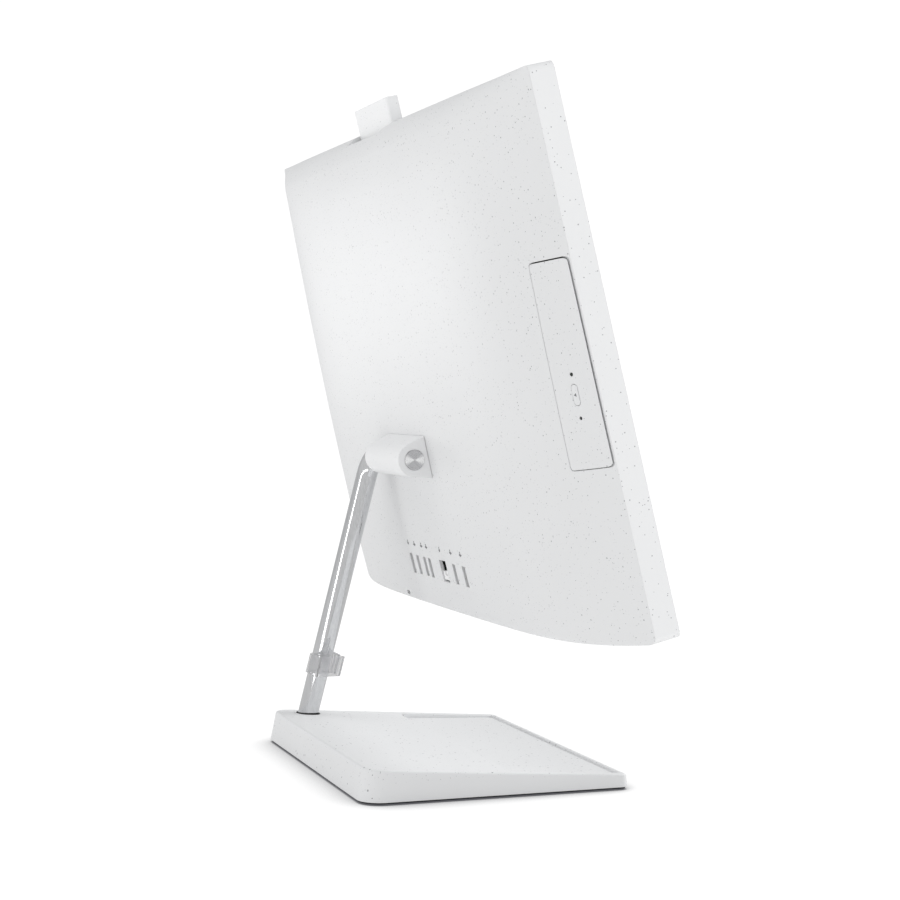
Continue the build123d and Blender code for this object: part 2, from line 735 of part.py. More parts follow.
def make_processor():
    """The processor package under the heat spreader."""
    return block((-35, 19.7, 232), (2, 21.0, 258))


def make_heat_spreader():
    """The cold plate with its clamping arms."""
    plate = block((-40, 21.1, 226), (8, 23.0, 264))
    for x, z in ((-48, 228), (-48, 256), (6, 228), (6, 256)):
        plate += block((x, 21.1, z), (x + 10, 22.2, z + 6))
    return plate


def make_heat_pipe():
    """The flattened pipe from the cold plate to the fins."""
    run = block((-36, 23.1, 240), (190, 26.1, 249))
    return fillet(run.edges().filter_by(Axis.X), 1.2)


def make_heatsink_fins():
    """The stack of fins in the fan's outlet."""
    base = block((128, 26.2, 236), (194, 27.4, 254))
    fins = base
    for i in range(22):
        x = 128 + 3.0 * i
        fins += block((x, 27.4, 236), (x + 0.6, 37.0, 254))
    return fins


def make_fan_housing():
    """The blower case beside the board."""
    case = block((122, 18, 164), (200, 33, 234.5))
    case -= rod((161, 19.2, 198), (0, 1, 0), 32.5, 12.6)
    case -= rod((161, 30, 198), (0, 1, 0), 22, 5)
    case -= block((128, 19.2, 205), (194, 31.8, 236))
    return case


def make_fan_rotor():
    """The blower wheel with its curved blades."""
    hub = rod((161, 20.2, 198), (0, 1, 0), 13.5, 10.0)
    wheel = hub + ring((161, 20.2, 198), (0, 1, 0), 30.0, 12.5, 1.0)
    for i in range(19):
        blade = Pos(21.5, 0, 0) * Rot(0, 0, 32) * Box(19.0, 0.9, 9.0)
        placed = Pos(161, 25.2, 198) * Rot(90, 0, 0) * Rot(0, 0, 360 * i / 19) * blade
        wheel += placed
    trim = rod((161, 20.2, 198), (0, 1, 0), 30.0, 10.0)
    return wheel & trim


def make_memory_modules():
    """Two memory modules in their sockets."""
    modules = []
    for z in (180, 203):
        board = block((-90, 21.4, z), (-22, 22.4, z + 20))
        socket = block((-92, 19.7, z - 3), (-20, 23.4, z - 0.1))
        chips = [block((-86 + 16 * i, 22.4, z + 5), (-75 + 16 * i, 23.5, z + 15)) for i in range(4)]
        for chip in chips:
            board += chip
        modules.append(board)
        modules.append(socket)
    return together(modules)


def make_solid_state_drive():
    """The slim storage card."""
    card = block((16, 21.4, 182), (96, 22.2, 204))
    for i in range(3):
        card += block((24 + 22 * i, 22.2, 186), (40 + 22 * i, 23.4, 200))
    return card


def make_wireless_card():
    """The radio card with its shield."""
    return block((-92, 20.6, 276), (-62, 21.4, 298)) + block((-89, 21.4, 279), (-65, 23.2, 295))


def make_clock_battery():
    """The coin cell in its holder."""
    return rod((60, 19.8, 285), (0, 1, 0), 10, 3.2)


def make_hard_disk():
    """The small hard disk, fixed low beside the sockets."""
    body = soft_block((128, 15.0, 46), (198, 22.0, 146), 1.5)
    return body - rod((163, 21.4, 108), (0, 1, 0), 26, 2)


def make_hard_disk_cradle():
    """The bent sheet that holds the hard disk."""
    tray = block((124, 11.3, 50), (202, 12.5, 142))
    sides = block((124, 12.5, 60), (125.4, 21.0, 132)) + block((200.6, 12.5, 60), (202, 21.0, 132))
    return tray + sides


def make_speaker(side):
    """A sealed speaker box with its cone facing down."""
    low_x, high_x = sorted((side * 104, side * 212))
    box = soft_block((low_x, 15, 5), (high_x, 31, 42), 2.0)
    box -= rod((side * 176, 23, 4), (0, 0, 1), 6.5, 3)
    return box + ring((side * 176, 23, 5.4), (0, 0, 1), 6.6, 3.0, 1.7)


def make_port_board():
    """The small board that carries the sockets."""
    board = block((-84, 38, 16), (72, 39.6, 50))
    arms = block((-84, 11.3, 44), (-80, 38, 50)) + block((68, 11.3, 44), (72, 38, 50))
    return board + arms


def make_socket(port, tongue):
    """A metal sleeve with a tongue, set a little below the cover."""
    x, width, length = port
    half_w = width / 2 + 0.4
    half_l = length / 2 + 0.4
    z = PORT_ROW_Z
    sleeve = block((x - half_w, 39.7, z - half_l), (x + half_w, SOCKET_BACK, z + half_l))
    mouth_low = (x - half_w + 0.5, 41, z - half_l + 0.5)
    sleeve -= block(mouth_low, (x + half_w - 0.5, SOCKET_BACK + 1, z + half_l - 0.5))
    blade = x - half_w + tongue
    return sleeve + block((blade, 40.9, z - half_l + 2), (blade + 1.7, 46.5, z + half_l - 2))


def make_network_socket():
    """The network socket, whose lower half is closed by a hinged jaw."""
    x, width, length = NETWORK_SOCKET
    low = PORT_ROW_Z - length / 2
    high = PORT_ROW_Z + length / 2
    shell = block((x - width / 2 - 0.6, 39.7, low - 0.5), (x + width / 2 + 0.6, SOCKET_BACK, high + 0.5))
    shell -= block((x - width / 2 + 0.5, 41, low + 0.5), (x + width / 2 - 0.5, SOCKET_BACK + 1, high - 0.7))
    for i in range(8):
        pin = x - 4.2 + 1.2 * i
        shell += block((pin - 0.3, 40.9, high - 2.0), (pin + 0.3, 46.5, high - 0.6))
    return shell


def make_network_jaw():
    """The white drop jaw over the lower half of the network socket."""
    x, width, length = NETWORK_SOCKET
    low = PORT_ROW_Z - length / 2 + 0.9
    half = width / 2 - 0.8
    middle = SOCKET_BACK + 0.3 + JAW_THICKNESS / 2
    inside = SOCKET_BACK + 0.3
    hinge_z = low + JAW_THICKNESS / 2
    plate = block((x - half, inside, hinge_z), (x + half, inside + JAW_THICKNESS, low + 7.4))
    plate += rod((x - half, middle, hinge_z), (1, 0, 0), JAW_THICKNESS / 2, 2 * half)
    return plate - block((x - 3.2, middle, low + 4.2), (x + 3.2, 56, low + 8))


def make_power_button():
    """The power button under the lower edge."""
    cap = rod((POWER_BUTTON_X, POWER_BUTTON_Y, -0.6), (0, 0, 1), 4.9, 5.0)
    return cap + rod((POWER_BUTTON_X, POWER_BUTTON_Y, WALL + 0.3), (0, 0, 1), 6.0, 0.9)


def make_button_switch():
    """The switch above the power button, on its bent arm."""
    arm = block((POWER_BUTTON_X - 8, 11.3, 7), (POWER_BUTTON_X + 8, 12.8, 30))
    shelf = block((POWER_BUTTON_X - 5, 12.8, 7), (POWER_BUTTON_X + 5, POWER_BUTTON_Y + 5, 8.2))
    plunger = rod((POWER_BUTTON_X, POWER_BUTTON_Y, 5.9), (0, 0, 1), 2.0, 1.2)
    return arm + shelf + plunger


def make_icon_marks():
    """Plain raised dots and bars over the sockets."""
    narrow = [POWER_INLET[0], NETWORK_SOCKET[0]]
    wide = [HDMI_SOCKET[0]] + [usb[0] for usb in USB_SOCKETS]
    marks = []
    for x in narrow + wide:
        z = 49.6
        y = back_depth(x, z)
        dot = rod((x, y - 0.6, z), (0, 1, 0), 1.1, 0.75)
        if x in wide:
            dot += block((x - 2.4, y - 0.6, z - 0.4), (x + 2.4, y + 0.15, z + 0.4))
        marks.append(dot)
        marks.append(block((x - 0.4, y - 0.6, z + 1.4), (x + 0.4, y + 0.15, z + 2.6)))
    return together(marks)


def build():
    """All nodes by name, in their places."""
    body = display_body(0, 0)
    hollow = display_body(WALL, -1)
    marks = make_icon_marks()
    rear_cover = make_rear_cover(body, hollow)
    for mark in marks.solids():
        rear_cover -= mark
    upright = {
        "rear_cover": rear_cover,
        "port_marks": marks,
        "front_bezel": make_front_bezel(),
        "screen_glass": make_screen_glass(),
        "lcd_panel": make_lcd_panel(),
        "chassis_plate": make_chassis_plate(),
        "screen_cable": make_screen_cable(),
        "hinge_knuckle": make_hinge_knuckle(),
        "hinge_bracket": make_hinge_bracket(),
        "bracket_screws": make_bracket_screws(),
        "torque_rings": make_torque_rings(),
        "camera_housing": make_camera_housing(),
        "camera_window": make_camera_window(),
        "camera_lens": make_camera_lens(),
        "camera_board": make_camera_board(),
        "camera_guide": make_camera_guide(),
        "drive_case": make_drive_case(),
        "drive_rails": make_drive_rails(),
        "disc_tray": make_disc_tray(),
        "tray_door": make_tray_door(body, hollow),
        "eject_button": make_eject_button(),
        "drive_light": make_drive_light(),
        "disc_spindle": make_disc_spindle(),
        "lens_sled": make_lens_sled(),
        "motherboard": make_motherboard(),
        "board_screws": make_board_screws(),
        "processor": make_processor(),
        "heat_spreader": make_heat_spreader(),
        "heat_pipe": make_heat_pipe(),
        "heatsink_fins": make_heatsink_fins(),
        "fan_housing": make_fan_housing(),
        "fan_rotor": make_fan_rotor(),
        "memory_modules": make_memory_modules(),
        "solid_state_drive": make_solid_state_drive(),
        "wireless_card": make_wireless_card(),
        "clock_battery": make_clock_battery(),
        "hard_disk": make_hard_disk(),
        "hard_disk_cradle": make_hard_disk_cradle(),
        "speaker_left": make_speaker(-1),
        "speaker_right": make_speaker(1),
        "port_board": make_port_board(),
        "usb_sockets": together(make_socket(port, 1.0) for port in USB_SOCKETS),
        "hdmi_socket": make_socket(HDMI_SOCKET, 2.6),
        "power_inlet": make_socket(POWER_INLET, 3.1),
        "network_socket": make_network_socket(),
        "network_jaw": make_network_jaw(),
        "power_button": make_power_button(),
        "button_switch": make_button_switch(),
    }
    nodes = {name: lean_back(shape) for name, shape in upright.items()}
    nodes["base_cover"] = make_base_cover()
    nodes["base_sole"] = make_base_sole()
    nodes["ballast_plate"] = make_ballast_plate()
    nodes["base_screws"] = make_base_screws()
    nodes["rubber_feet"] = make_rubber_feet()
    nodes["tube_socket"] = make_tube_socket()
    nodes["socket_screws"] = make_socket_screws()
    nodes["tube_grommet"] = make_tube_grommet()
    nodes["stand_tube"] = make_stand_tube()
    nodes["hinge_shaft"] = make_hinge_shaft()
    nodes["hinge_end_disc"] = make_hinge_end_disc()
    nodes["cable_clip"] = make_cable_clip()
    return nodes


os.makedirs("parts", exist_ok=True)
for node, shape in build().items():
    export_step(shape, f"parts/{node}.step")
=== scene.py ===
import bpy
import json
import math
from mathutils import Matrix, Vector


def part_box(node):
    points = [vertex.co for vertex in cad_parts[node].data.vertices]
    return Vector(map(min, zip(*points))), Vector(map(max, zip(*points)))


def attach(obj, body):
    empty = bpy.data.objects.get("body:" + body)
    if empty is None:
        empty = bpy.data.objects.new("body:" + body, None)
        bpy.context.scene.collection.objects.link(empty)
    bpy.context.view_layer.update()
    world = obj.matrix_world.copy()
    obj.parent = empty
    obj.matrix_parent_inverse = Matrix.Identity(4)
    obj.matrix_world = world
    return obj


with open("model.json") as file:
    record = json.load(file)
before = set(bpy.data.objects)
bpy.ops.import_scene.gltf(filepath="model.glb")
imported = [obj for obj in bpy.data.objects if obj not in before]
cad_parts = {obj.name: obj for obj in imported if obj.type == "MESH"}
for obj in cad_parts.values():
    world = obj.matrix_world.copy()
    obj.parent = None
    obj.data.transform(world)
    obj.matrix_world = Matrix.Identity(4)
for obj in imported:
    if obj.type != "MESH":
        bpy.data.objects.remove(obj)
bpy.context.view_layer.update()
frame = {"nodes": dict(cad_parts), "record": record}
nodes = frame["nodes"]

# ---------------------------------------------------------------- smooth shading

SOFT_EDGE = math.radians(32.0)
WELD_DISTANCE = 0.000004


def smooth_group():
    """A modifier group that smooths every edge flatter than the given angle."""
    group = bpy.data.node_groups.new("smooth_by_angle", "GeometryNodeTree")
    group.interface.new_socket("Geometry", in_out="INPUT", socket_type="NodeSocketGeometry")
    limit = group.interface.new_socket("Angle", in_out="INPUT", socket_type="NodeSocketFloat")
    group.interface.new_socket("Geometry", in_out="OUTPUT", socket_type="NodeSocketGeometry")
    first = group.nodes.new("NodeGroupInput")
    last = group.nodes.new("NodeGroupOutput")
    angle = group.nodes.new("GeometryNodeInputMeshEdgeAngle")
    below = group.nodes.new("FunctionNodeCompare")
    below.operation = "LESS_EQUAL"
    faces = group.nodes.new("GeometryNodeSetShadeSmooth")
    edges = group.nodes.new("GeometryNodeSetShadeSmooth")
    edges.domain = "EDGE"
    link = group.links.new
    link(first.outputs["Geometry"], faces.inputs["Geometry"])
    link(faces.outputs[0], edges.inputs["Geometry"])
    link(angle.outputs[0], below.inputs[0])
    link(first.outputs["Angle"], below.inputs[1])
    link(below.outputs[0], edges.inputs["Shade Smooth"])
    link(edges.outputs[0], last.inputs["Geometry"])
    return group, limit.identifier


SMOOTH, LIMIT_KEY = smooth_group()


def smooth(obj):
    """Welds the mesh's faces together and smooths its soft edges."""
    weld = obj.modifiers.new("weld", "WELD")
    weld.merge_threshold = WELD_DISTANCE
    soft = obj.modifiers.new("smooth", "NODES")
    soft.node_group = SMOOTH
    soft[LIMIT_KEY] = SOFT_EDGE


# ---------------------------------------------------------------- materials

# where the values of a soft cloud and of a fine grain mostly lie
CLOUD = (0.35, 0.65)
GRAIN = (0.3, 0.7)

FINE_FLECK = (0.42, 0.43, 0.44)
COARSE_FLECK = (0.25, 0.255, 0.265)

# scale and turn that draw a noise out into lines
EVEN = ((1, 1, 1), (0, 0, 0))
TUBE_DRAWN = ((1, 1, 0.03), (-0.171, -math.atan2(0.059, 0.2099), 0))
DISC_RINGS = 14000.0

# the Mix node's colour sockets
MIX_A, MIX_B, MIX_RESULT = 6, 7, 2


class Paint:
    """A node material with helpers for its procedural detail."""

    def __init__(self, name, colour, roughness=0.45, metal=0.0, **settings):
        self.m = bpy.data.materials.new(name)
        self.m.use_nodes = True
        self.nodes = self.m.node_tree.nodes
        self.link = self.m.node_tree.links.new
        self.shader = self.nodes["Principled BSDF"]
        self.shader.inputs["Base Color"].default_value = (*colour, 1)
        self.shader.inputs["Roughness"].default_value = roughness
        self.shader.inputs["Metallic"].default_value = metal
        for key, value in settings.items():
            self.shader.inputs[key.replace("_", " ")].default_value = value
        self.place = self.nodes.new("ShaderNodeTexCoord").outputs["Object"]

    def node(self, kind, **settings):
        """A new shader node; the settings name its sockets or its properties."""
        made = self.nodes.new("ShaderNode" + kind)
        for key, value in settings.items():
            if key in made.inputs:
                made.inputs[key].default_value = value
            else:
                setattr(made, key, value)
        return made

    def noise(self, scale, detail=3.0, rough=0.5, stretch=None):
        """Cloudy noise, drawn out where a stretch of scale and turn is given."""
        place = self.place
        if stretch:
            turn = self.node("Mapping")
            turn.inputs["Scale"].default_value = stretch[0]
            turn.inputs["Rotation"].default_value = stretch[1]
            self.link(place, turn.inputs["Vector"])
            place = turn.outputs[0]
        tex = self.node("TexNoise", Scale=scale, Detail=detail, Roughness=rough)
        self.link(place, tex.inputs["Vector"])
        return tex.outputs["Fac"]

    def span(self, value, low, high, from_low=0.0, from_high=1.0):
        """The value taken from one range to another and held inside it."""
        made = self.node("MapRange", clamp=True)
        made.inputs["From Min"].default_value = from_low
        made.inputs["From Max"].default_value = from_high
        made.inputs["To Min"].default_value = low
        made.inputs["To Max"].default_value = high
        self.link(value, made.inputs["Value"])
        return made.outputs[0]

    def math(self, operation, a, b=0):
        """An operation on sockets or numbers; some operations use only the first."""
        made = self.node("Math", operation=operation)
        for socket, value in zip(made.inputs, (a, b)):
            if isinstance(value, (int, float)):
                socket.default_value = value
            else:
                self.link(value, socket)
        return made.outputs[0]

    def mix(self, share, a, b):
        """Colour a where the share is 0, colour b where it is 1."""
        made = self.node("Mix", data_type="RGBA")
        ends = (made.inputs[MIX_A], made.inputs[MIX_B])
        for socket, value in zip(ends, (a, b)):
            if isinstance(value, tuple):
                socket.default_value = (*value, 1)
            else:
                self.link(value, socket)
        self.link(share, made.inputs[0])
        return made.outputs[MIX_RESULT]

    def specks(self, scale, radius, share):
        """1 inside small scattered dots, 0 elsewhere."""
        cells = self.node("TexVoronoi", Scale=scale, feature="F1", Randomness=1.0)
        self.link(self.place, cells.inputs["Vector"])
        split = self.node("SeparateColor")
        self.link(cells.outputs["Color"], split.inputs[0])
        size = self.span(split.outputs[1], radius * 0.45, radius)
        inside = self.math("LESS_THAN", cells.outputs["Distance"], size)
        chosen = self.math("LESS_THAN", split.outputs[0], share)
        return self.math("MULTIPLY", inside, chosen)

    def base(self, colour):
        self.link(colour, self.shader.inputs["Base Color"])

    def rough(self, value, low, high):
        self.link(self.span(value, low, high, *GRAIN), self.shader.inputs["Roughness"])

    def bump(self, height, strength, distance, edge=None):
        """Bump, over normals that are rounded at the edges where a radius is given."""
        made = self.node("Bump", Strength=strength, Distance=distance)
        self.link(height, made.inputs["Height"])
        if edge:
            soft = self.node("Bevel", samples=4)
            soft.inputs["Radius"].default_value = edge
            self.link(soft.outputs[0], made.inputs["Normal"])
        self.link(made.outputs[0], self.shader.inputs["Normal"])


def speckled(name, colour, roughness, density=1.0, edge=0.0005, size=1.0):
    """Satin moulded plastic with dark flecks through it."""
    p = Paint(name, colour, roughness, Specular_IOR_Level=0.42)
    cloud = p.noise(9, 2)
    tone = p.mix(p.span(cloud, 0, 1, *CLOUD), tuple(c * 0.985 for c in colour), colour)
    fine = p.specks(560, 0.20, 0.50 * density)
    tone = p.mix(p.math("MULTIPLY", fine, 0.55), tone, FINE_FLECK)
    coarse = p.specks(320 / size, 0.16, 0.70 * density)
    tone = p.mix(p.math("MULTIPLY", coarse, 0.72), tone, COARSE_FLECK)
    p.base(tone)
    p.rough(p.noise(900, 2), roughness - 0.04, roughness + 0.05)
    p.bump(p.noise(2600, 2), 0.10, 0.0002, edge)
    return p.m


def moulded(name, colour, roughness=0.5, grain=1800, depth=0.12, **settings):
    """Plain moulded plastic with a fine spark-eroded grain."""
    p = Paint(name, colour, roughness, **settings)
    cloud = p.noise(40, 3)
    light = tuple(min(1.0, c * 1.12 + 0.004) for c in colour)
    p.base(p.mix(p.span(cloud, 0, 1, *CLOUD), colour, light))
    p.rough(p.noise(grain, 2), max(0.05, roughness - 0.06), roughness + 0.06)
    p.bump(p.noise(grain, 3), depth, 0.0003, 0.0003)
    return p.m


def metal(name, colour, roughness, stretch=EVEN):
    """Bare metal with the marks of rolling, drawing or turning."""
    p = Paint(name, colour, roughness, 1.0)
    lines = p.noise(700, 4, 0.65, stretch)
    cloud = p.noise(28, 3)
    dark = tuple(c * 0.90 for c in colour)
    p.base(p.mix(p.span(cloud, 0, 1, *GRAIN), dark, colour))
    p.rough(lines, max(0.05, roughness - 0.07), roughness + 0.08)
    p.bump(lines, 0.06, 0.0002, 0.0003)
    return p.m


def clear_plastic():
    """Clear polycarbonate with faint flow marks."""
    p = Paint("clear_clip", (0.90, 0.90, 0.905), 0.10, Transmission_Weight=0.85, IOR=1.12)
    flow = p.noise(130, 2, 0.5, ((1, 1, 0.2), (0, 0, 0)))
    p.base(p.mix(p.span(flow, 0, 1, *GRAIN), (0.87, 0.87, 0.88), (0.94, 0.94, 0.945)))
    p.rough(flow, 0.07, 0.14)
    p.bump(p.noise(300, 1), 0.02, 0.0001)
    return p.m


def turned_disc():
    """Aluminium with concentric turning marks, and a highlight painted into its base colour in two
    bright fans.
    """
    p = Paint("turned_metal", (0.80, 0.80, 0.81), 0.24, 1.0, Anisotropic=0.85)
    low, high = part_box("hinge_end_disc")
    middle = (low + high) / 2
    shift = p.node("VectorMath", operation="SUBTRACT")
    p.link(p.place, shift.inputs[0])
    shift.inputs[1].default_value = (0, middle[1], middle[2])
    split = p.node("SeparateXYZ")
    p.link(shift.outputs[0], split.inputs[0])
    y, z = split.outputs[1], split.outputs[2]
    around = p.math("ARCTAN2", z, y)
    radius = p.math("SQRT", p.math("ADD", p.math("POWER", y, 2.0), p.math("POWER", z, 2.0)))
    rings = p.math("SINE", p.math("MULTIPLY", radius, DISC_RINGS))
    # painted highlight: the base colour is lighter in two fans either side of the middle, where
    # the turned face would shine
    painted_fan_highlight = p.math("ABSOLUTE", p.math("COSINE", around))
    sheen = p.span(p.math("POWER", painted_fan_highlight, 5.0), 0, 1, 0.25, 0.85)
    p.base(p.mix(sheen, (0.58, 0.58, 0.59), (0.99, 0.99, 0.99)))
    p.rough(p.noise(500, 2), 0.2, 0.34)
    tangent = p.node("Tangent", direction_type="RADIAL", axis="X")
    p.link(tangent.outputs[0], p.shader.inputs["Tangent"])
    p.bump(rings, 0.10, 0.0001)
    return p.m


def tube_metal():
    """Polished tube, drawn lengthwise."""
    p = Paint("tube_metal", (0.80, 0.805, 0.815), 0.12, 1.0)
    lines = p.noise(900, 4, 0.6, TUBE_DRAWN)
    p.base(p.mix(p.span(lines, 0, 1, *GRAIN), (0.66, 0.665, 0.675), (0.76, 0.765, 0.775)))
    p.rough(lines, 0.09, 0.16)
    p.bump(lines, 0.025, 0.0001)
    return p.m


def board():
    """Solder mask over copper tracks, with bare pads."""
    p = Paint("circuit_board", (0.02, 0.12, 0.06), 0.3, Coat_Weight=0.4)
    bricks = p.node("TexVoronoi", Scale=150, distance="MANHATTAN", feature="F1")
    p.link(p.place, bricks.inputs["Vector"])
    stripes = p.math("FRACT", p.math("MULTIPLY", bricks.outputs["Distance"], 6.0))
    tracks = p.math("LESS_THAN", stripes, 0.3)
    tone = p.mix(tracks, (0.012, 0.10, 0.045), (0.03, 0.20, 0.09))
    pads = p.specks(420, 0.3, 0.5)
    p.base(p.mix(pads, tone, (0.62, 0.60, 0.50)))
    p.bump(bricks.outputs["Distance"], 0.2, 0.0003)
    return p.m


def screen_glass():
    """Dark coated cover glass, faintly cloudy."""
    p = Paint("screen", (0.012, 0.013, 0.016), 0.07, Coat_Weight=0.6, Coat_Roughness=0.03)
    cloud = p.noise(5, 2)
    p.base(p.mix(p.span(cloud, 0, 1, *GRAIN), (0.010, 0.011, 0.014), (0.017, 0.018, 0.022)))
    p.rough(p.noise(60, 3), 0.05, 0.10)
    return p.m


MATERIALS = {
    "white_shell": speckled("white_shell", (0.84, 0.845, 0.85), 0.42),
    "white_base": speckled("white_base", (0.86, 0.865, 0.87), 0.45, 0.9, size=1.5),
    "white_jaw": moulded("white_jaw", (0.92, 0.92, 0.92), 0.4),
    "hinge_cover": speckled("hinge_cover", (0.86, 0.863, 0.868), 0.36, 0.35, 0.0008),
    "front_frame": moulded("front_frame", (0.012, 0.012, 0.014), 0.16, 600, 0.02, Coat_Weight=0.5),
    "screen": screen_glass(),
    "panel": moulded("panel", (0.02, 0.02, 0.024), 0.3),
    "tube_metal": tube_metal(),
    "turned_metal": turned_disc(),
    "clear_clip": clear_plastic(),
    "sole_plastic": moulded("sole_plastic", (0.018, 0.018, 0.02), 0.55, 1200, 0.25),
    "foot_rubber": moulded("foot_rubber", (0.014, 0.014, 0.014), 0.8, 2200, 0.4),
    "plain_steel": metal("plain_steel", (0.60, 0.60, 0.61), 0.33, ((1, 0.06, 1), (0, 0, 0))),
    "spring_steel": metal("spring_steel", (0.42, 0.42, 0.45), 0.28),
    "screw_steel": metal("screw_steel", (0.20, 0.20, 0.21), 0.35),
    "socket_metal": metal("socket_metal", (0.66, 0.66, 0.67), 0.26, ((1, 0.08, 1), (0, 0, 0))),
    "black_moulding": moulded("black_moulding", (0.016, 0.016, 0.018), 0.5, 1500, 0.3),
    "hub_plastic": moulded("hub_plastic", (0.45, 0.45, 0.46), 0.42),
    "circuit_board": board(),
    "chip": moulded("chip", (0.04, 0.04, 0.045), 0.6),
    "copper": metal("copper", (0.72, 0.40, 0.27), 0.3),
    "fin_metal": metal("fin_metal", (0.70, 0.70, 0.71), 0.3, ((1, 0.1, 1), (0, 0, 0))),
    "ribbon": moulded("ribbon", (0.62, 0.55, 0.42), 0.5),
    "lens": moulded("lens", (0.008, 0.008, 0.02), 0.06, 300, 0.0, Coat_Weight=0.8),
    "light": moulded("light", (0.02, 0.025, 0.02), 0.3),
    "mark_ink": moulded("mark_ink", (0.20, 0.20, 0.21), 0.6),
}

slot_of = {part["node"]: part["material_slot"] for part in frame["record"]["subparts"]}
for name, obj in nodes.items():
    finish = MATERIALS[slot_of[name]]
    if obj.data.materials:
        for held in obj.material_slots:
            held.material = finish
    else:
        obj.data.materials.append(finish)
    smooth(obj)

# ---------------------------------------------------------------- added detail

OUTWARD = Vector((-0.4627, 0.8609, -0.2115)).normalized()  # out of the drive door's face
DISPLAY_UP = Vector((0, 0.2385, 0.9711)).normalized()  # up along the leaning display
PIN_BELOW_KEY = 0.0149
FACE_DEPTH = 0.0001


def key_face():
    """The middle of the eject key's outer face."""
    key = nodes["eject_button"]
    points = [key.matrix_world @ v.co for v in key.data.vertices]
    top = max(p.dot(OUTWARD) for p in points)
    face = [p for p in points if p.dot(OUTWARD) > top - FACE_DEPTH]
    return sum(face, Vector()) / len(face)


def small_prism(name, middle, radius, sides, low, high, finish, body):
    """A little prism on the door's surface, from low to high along its normal."""
    along = (DISPLAY_UP - OUTWARD * OUTWARD.dot(DISPLAY_UP)).normalized()
    side = OUTWARD.cross(along)
    turns = [2 * math.pi * i / sides for i in range(sides)]
    ring = [middle + (side * math.cos(a) + along * math.sin(a)) * radius for a in turns]
    points = [p + OUTWARD * low for p in ring] + [p + OUTWARD * high for p in ring]
    walls = [(i, (i + 1) % sides, (i + 1) % sides + sides, i + sides) for i in range(sides)]
    ends = [tuple(range(sides))[::-1], tuple(range(sides, 2 * sides))]
    mesh = bpy.data.meshes.new(name)
    mesh.from_pydata(points, [], walls + ends)
    made = bpy.data.objects.new(name, mesh)
    bpy.context.collection.objects.link(made)
    mesh.materials.append(MATERIALS[finish])
    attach(made, body)


small_prism("eject_mark", key_face(), radius=0.0013, sides=3,
            low=-0.0001, high=0.00008, finish="mark_ink", body="eject_key")
# a black disc deep in the eject pin hole: a guide sleeve, and also painted shade that keeps the
# hole dark
small_prism("pin_guide_and_shade", key_face() - DISPLAY_UP * PIN_BELOW_KEY, radius=0.0011, sides=24,
            low=-0.0016, high=-0.0007, finish="black_moulding", body="drive_tray")

# ---------------------------------------------------------------- floor, light, camera

FLOOR_RADIUS = 9
FLOOR_DROP = 0.0002
CONTACT_SHADE = 0.045
GLOW_ON_MATT, GLOW_IN_MIRRORS = 0.90, 0.58  # the camera sees the floor at 1
WORLD_GREY = (0.565, 0.568, 0.572, 1)
WORLD_SEEN = 1.05

LENS = 80.43
CAMERA_PLACE = (-1.449, 0.476, 0.28306)
CAMERA_TURN = math.radians(251.42)
CAMERA_FALL = math.radians(1.68)
CAMERA_ROLL = math.radians(0.08)


def floor():
    """A pale floor that runs into a pale background, with a contact shadow painted into its glow
    near the object.
    """
    bpy.ops.mesh.primitive_circle_add(
        vertices=96, radius=FLOOR_RADIUS, fill_type="NGON", location=(0, 0, -FLOOR_DROP))
    disc = bpy.context.object
    disc.name = "floor"
    p = Paint("floor", (0.12, 0.12, 0.12), 0.9, Specular_IOR_Level=0.0)
    # painted contact shadow: the glow's colour turns dark grey where ambient occlusion finds the
    # object close by
    near = p.node("AmbientOcclusion", samples=12)
    near.inputs["Distance"].default_value = CONTACT_SHADE
    clear_of_painted_shadow = p.span(near.outputs["AO"], 0.0, 1.0, 0.25, 0.95)
    tone = p.mix(clear_of_painted_shadow, (0.10, 0.10, 0.11), (1.0, 1.0, 1.0))
    glow = p.node("Emission")
    p.link(tone, glow.inputs["Color"])
    path = p.node("LightPath")
    unseen = p.span(path.outputs["Is Glossy Ray"], GLOW_ON_MATT, GLOW_IN_MIRRORS)
    p.link(p.math("MAXIMUM", path.outputs["Is Camera Ray"], unseen), glow.inputs["Strength"])
    both = p.node("AddShader")
    p.link(glow.outputs[0], both.inputs[0])
    p.link(p.shader.outputs[0], both.inputs[1])
    p.link(both.outputs[0], p.nodes["Material Output"].inputs["Surface"])
    disc.data.materials.append(p.m)


def softbox(name, place, target, size, power, spread=180, glossy=False, diffuse=True, only=()):
    """A rectangular studio light that the camera doesn't see, for all nodes or only some."""
    data = bpy.data.lights.new(name, "AREA")
    data.shape = "RECTANGLE"
    data.size, data.size_y = size
    data.energy = power
    data.spread = math.radians(spread)
    obj = bpy.data.objects.new(name, data)
    bpy.context.collection.objects.link(obj)
    obj.location = place
    obj.rotation_euler = (Vector(target) - Vector(place)).to_track_quat("-Z", "Y").to_euler()
    obj.visible_camera = False
    obj.visible_glossy = glossy
    obj.visible_diffuse = diffuse
    if only:
        lit = bpy.data.collections.new(name + "_lit")
        for node in only:
            lit.objects.link(nodes[node])
        obj.light_linking.receiver_collection = lit


def surroundings():
    """White to the eye, softer grey to the surfaces it lights."""
    world = bpy.data.worlds.new("studio")
    bpy.context.scene.world = world
    world.use_nodes = True
    tree = world.node_tree
    shade = tree.nodes["Background"]
    shade.inputs["Color"].default_value = WORLD_GREY
    seen = tree.nodes.new("ShaderNodeBackground")
    seen.inputs["Color"].default_value = (1, 1, 1, 1)
    seen.inputs["Strength"].default_value = WORLD_SEEN
    path = tree.nodes.new("ShaderNodeLightPath")
    pick = tree.nodes.new("ShaderNodeMixShader")
    tree.links.new(path.outputs["Is Camera Ray"], pick.inputs[0])
    tree.links.new(shade.outputs[0], pick.inputs[1])
    tree.links.new(seen.outputs[0], pick.inputs[2])
    tree.links.new(pick.outputs[0], tree.nodes["World Output"].inputs["Surface"])


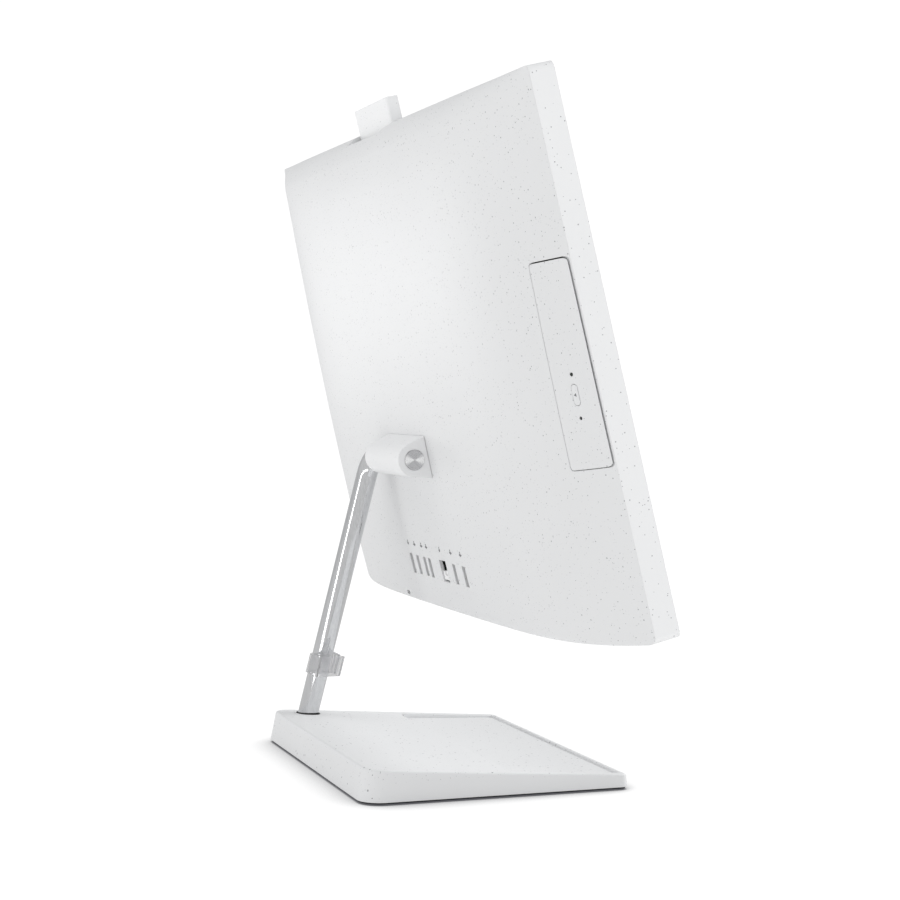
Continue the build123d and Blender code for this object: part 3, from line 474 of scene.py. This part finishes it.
def camera():
    """Behind the screen, level with its middle, well off to the -X side."""
    data = bpy.data.cameras.new("camera")
    data.sensor_width = 36.0
    data.lens = LENS
    data.clip_end = 60
    cam = bpy.data.objects.new("camera", data)
    bpy.context.collection.objects.link(cam)
    flat = math.cos(CAMERA_FALL)
    back = Vector((math.sin(CAMERA_TURN) * flat, -math.cos(CAMERA_TURN) * flat,
                   math.sin(CAMERA_FALL)))
    right = Vector((0, 0, 1)).cross(back).normalized()
    up = back.cross(right)
    axes = Matrix((right, up, back)).transposed().to_4x4()
    roll = Matrix.Rotation(CAMERA_ROLL, 4, "Z")
    cam.matrix_world = Matrix.Translation(CAMERA_PLACE) @ axes @ roll
    bpy.context.scene.camera = cam


UPPER = ("rear_cover", "front_bezel", "camera_housing", "hinge_knuckle",
         "hinge_end_disc", "tray_door", "eject_button")

floor()
surroundings()
camera()
softbox("key", (-2.2, -1.0, 0.9), (-0.3, 0, 0.35), (1.2, 1.6), 6.6, spread=120, only=UPPER)
softbox("back_wash", (1.1, 2.0, 0.4), (0, 0, 0.28), (0.8, 1.4), 5.2)
softbox("strip", (0.03, 0.32, 0.14), (0.05, 0.08, 0.49), (0.028, 0.45), 0.2,
        glossy=True, only=("stand_tube", "hinge_end_disc"))
softbox("sheen", (2.1, 0.78, 0.22), (0, 0.02, 0.33), (0.36, 0.42), 2.2,
        glossy=True, diffuse=False, only=("rear_cover", "tray_door", "camera_housing"))
softbox("top", (-0.3, 1.0, 1.9), (0, 0, 0.1), (1.6, 1.4), 8)
softbox("desk", (0.1, -1.3, 0.9), (0, -0.05, 0), (0.9, 0.6), 10, only=("base_cover",))
softbox("block", (0.7, 1.9, 0.2), (0, 0, 0.25), (0.7, 0.7), 5, only=("hinge_knuckle",))
softbox("camera_fill", (-0.2, 1.6, 0.7), (0, 0.05, 0.5), (0.5, 0.5), 3.6,
        only=("camera_housing",))
softbox("front", (0.6, -2.2, 0.9), (0, 0, 0.3), (1.6, 1.2), 6)
bpy.context.scene.view_settings.view_transform = "Standard"
